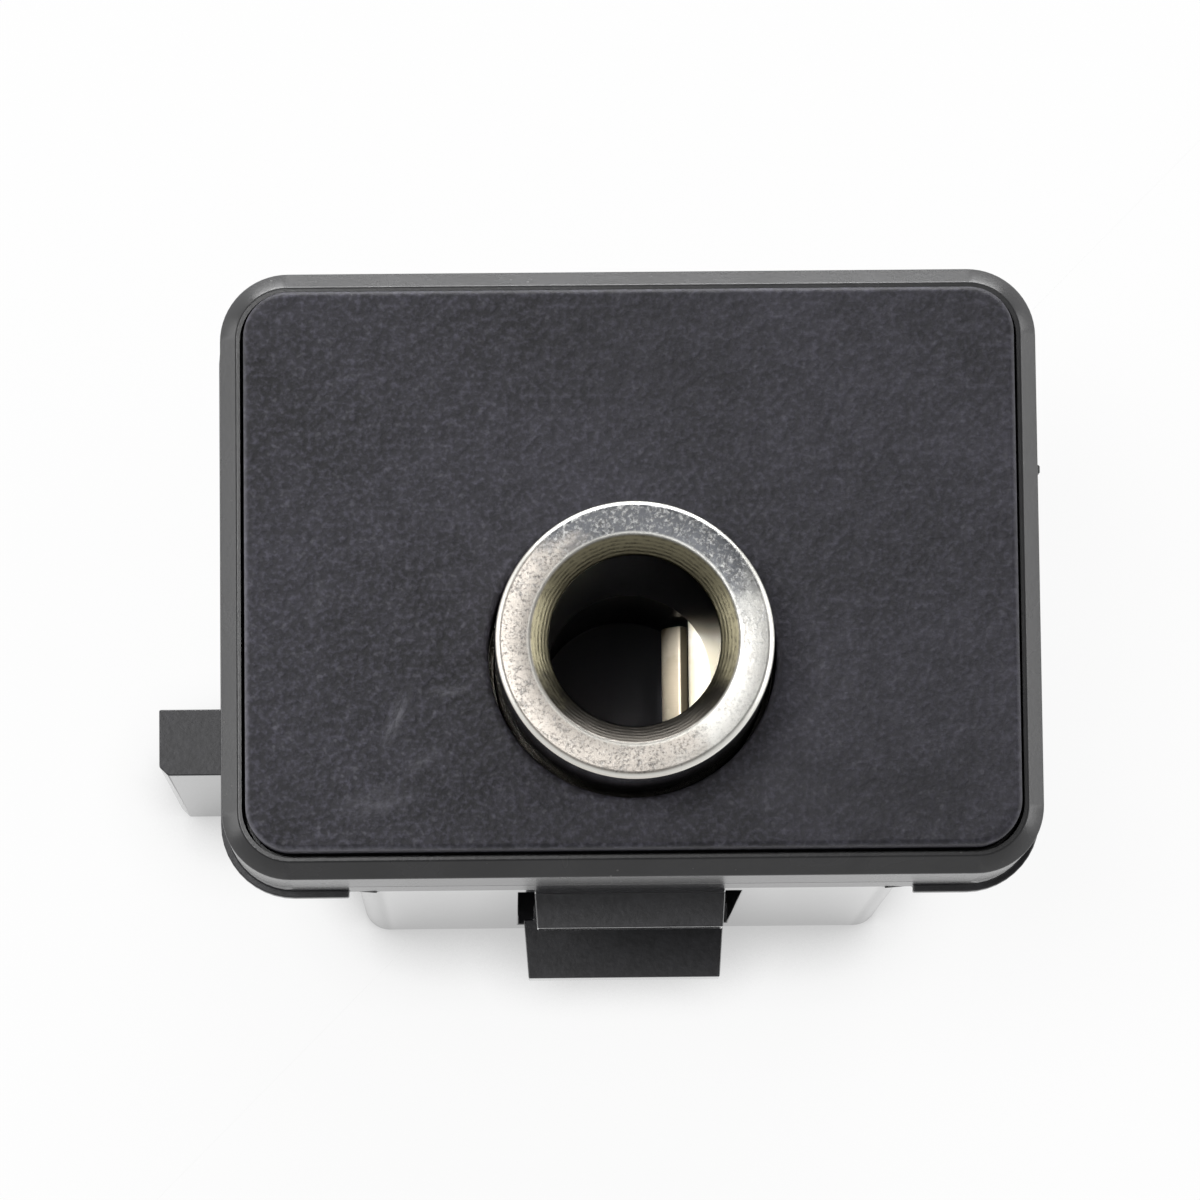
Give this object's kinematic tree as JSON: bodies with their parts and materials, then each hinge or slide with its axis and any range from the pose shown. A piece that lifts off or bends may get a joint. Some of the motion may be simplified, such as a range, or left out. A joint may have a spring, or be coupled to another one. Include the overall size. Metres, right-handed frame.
{
  "type": "audio jack socket",
  "caption": "Snap-in 3.5 mm audio jack socket with a textured black face plate, plated bush, guide fin, side latch and a shrouded rear pin header.",
  "frame": {"origin": "on the jack's axis, at the front of the face plate", "axes": "+Z out of the jack's mouth, +Y towards the taller side of the face, +X to the right seen from the front"},
  "size_m": [0.0198, 0.015, 0.0195],
  "materials": {
    "grained_plastic": "fine spark-eroded grain, black",
    "smooth_plastic": "smooth moulded black, satin",
    "housing_plastic": "polished moulded black",
    "plated_bush": "nickel plated, pitted and lightly scratched",
    "core_plastic": "black moulded insulator",
    "contact_metal": "plated spring strip",
    "pin_metal": "plated square pin",
    "board": "solder-masked laminate"
  },
  "bodies": {
    "socket": {"rear_housing": "housing_plastic", "front_plate": "grained_plastic", "bezel": "smooth_plastic", "bush": "plated_bush", "sleeve_tag": "contact_metal", "jack_core": "core_plastic", "circuit_board": "board", "header_strip": "core_plastic", "header_pin_tip": "pin_metal", "header_pin_ring": "pin_metal", "header_pin_sleeve": "pin_metal"},
    "tip_contact": {"tip_spring": "contact_metal"},
    "ring_contact": {"ring_spring": "contact_metal"}
  },
  "joints": [
    {"name": "tip_flex", "type": "hinge", "parent": "socket", "child": "tip_contact", "pos_m": [0.00305, 0, -0.0124], "axis": [0, 1, 0], "range_deg": [0, 15], "stiffness_Nm_per_rad": 0.02},
    {"name": "ring_flex", "type": "hinge", "parent": "socket", "child": "ring_contact", "pos_m": [0.00435, 0, -0.0124], "axis": [0, 1, 0], "range_deg": [0, 4], "stiffness_Nm_per_rad": 0.08}
  ]
}
